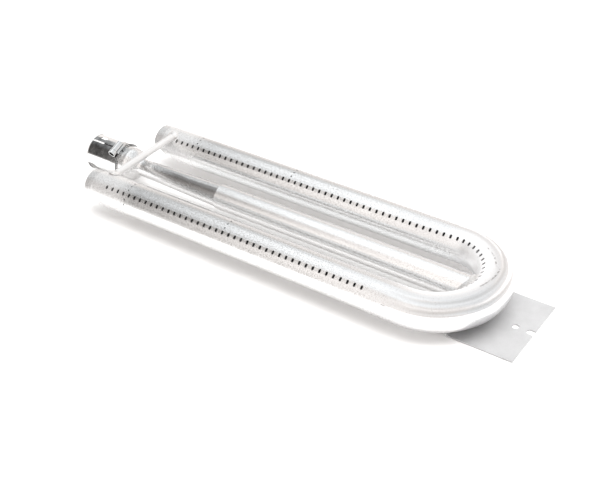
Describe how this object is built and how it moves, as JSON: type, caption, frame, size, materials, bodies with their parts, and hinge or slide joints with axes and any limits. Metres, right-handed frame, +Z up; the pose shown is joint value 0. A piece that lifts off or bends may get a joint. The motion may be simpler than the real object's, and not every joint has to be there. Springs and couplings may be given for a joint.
{
  "type": "tubular gas burner assembly",
  "caption": "U-shaped tubular gas burner with slotted flame ports, a central venturi mixer, a clamped air shutter sleeve and a flat mounting plate.",
  "frame": {"origin": "centre of the venturi's inlet mouth, on the mixer's axis", "axes": "+X along the mixer tube from the inlet towards the bend and mounting plate, +Z up through the flame ports, +Y towards the far leg"},
  "size_m": [0.5543, 0.1546, 0.0531],
  "materials": {
    "aluminised_steel": "satin",
    "mixer_steel": "satin",
    "weld_metal": "as welded",
    "plate_steel": "matt",
    "rod_steel": "satin",
    "bright_zinc": "bright plated"
  },
  "bodies": {
    "burner": {"burner_tube": "aluminised_steel", "venturi": "mixer_steel", "mixer_tube": "aluminised_steel", "mixer_weld": "weld_metal", "tie_rod": "rod_steel", "tie_rod_welds": "weld_metal", "mounting_plate": "plate_steel", "plate_welds": "weld_metal"},
    "shutter": {"air_shutter": "bright_zinc"},
    "clamp": {"clamp_band": "bright_zinc", "clamp_housing": "bright_zinc"},
    "screw": {"clamp_screw": "bright_zinc"}
  },
  "joints": [
    {"name": "shutter_slide", "type": "slide", "parent": "burner", "child": "shutter", "axis": [1, 0, 0], "range_m": [-0.012, 0.006]},
    {"name": "clamp_turn", "type": "hinge", "parent": "shutter", "child": "clamp", "pos_m": [0.024, 0, 0], "axis": [1, 0, 0], "range_deg": [-90, 90]},
    {"name": "screw_turn", "type": "hinge", "parent": "clamp", "child": "screw", "pos_m": [0.024, -0.00918, 0.02272], "axis": [0, 0.9272, 0.3746], "continuous": true}
  ]
}
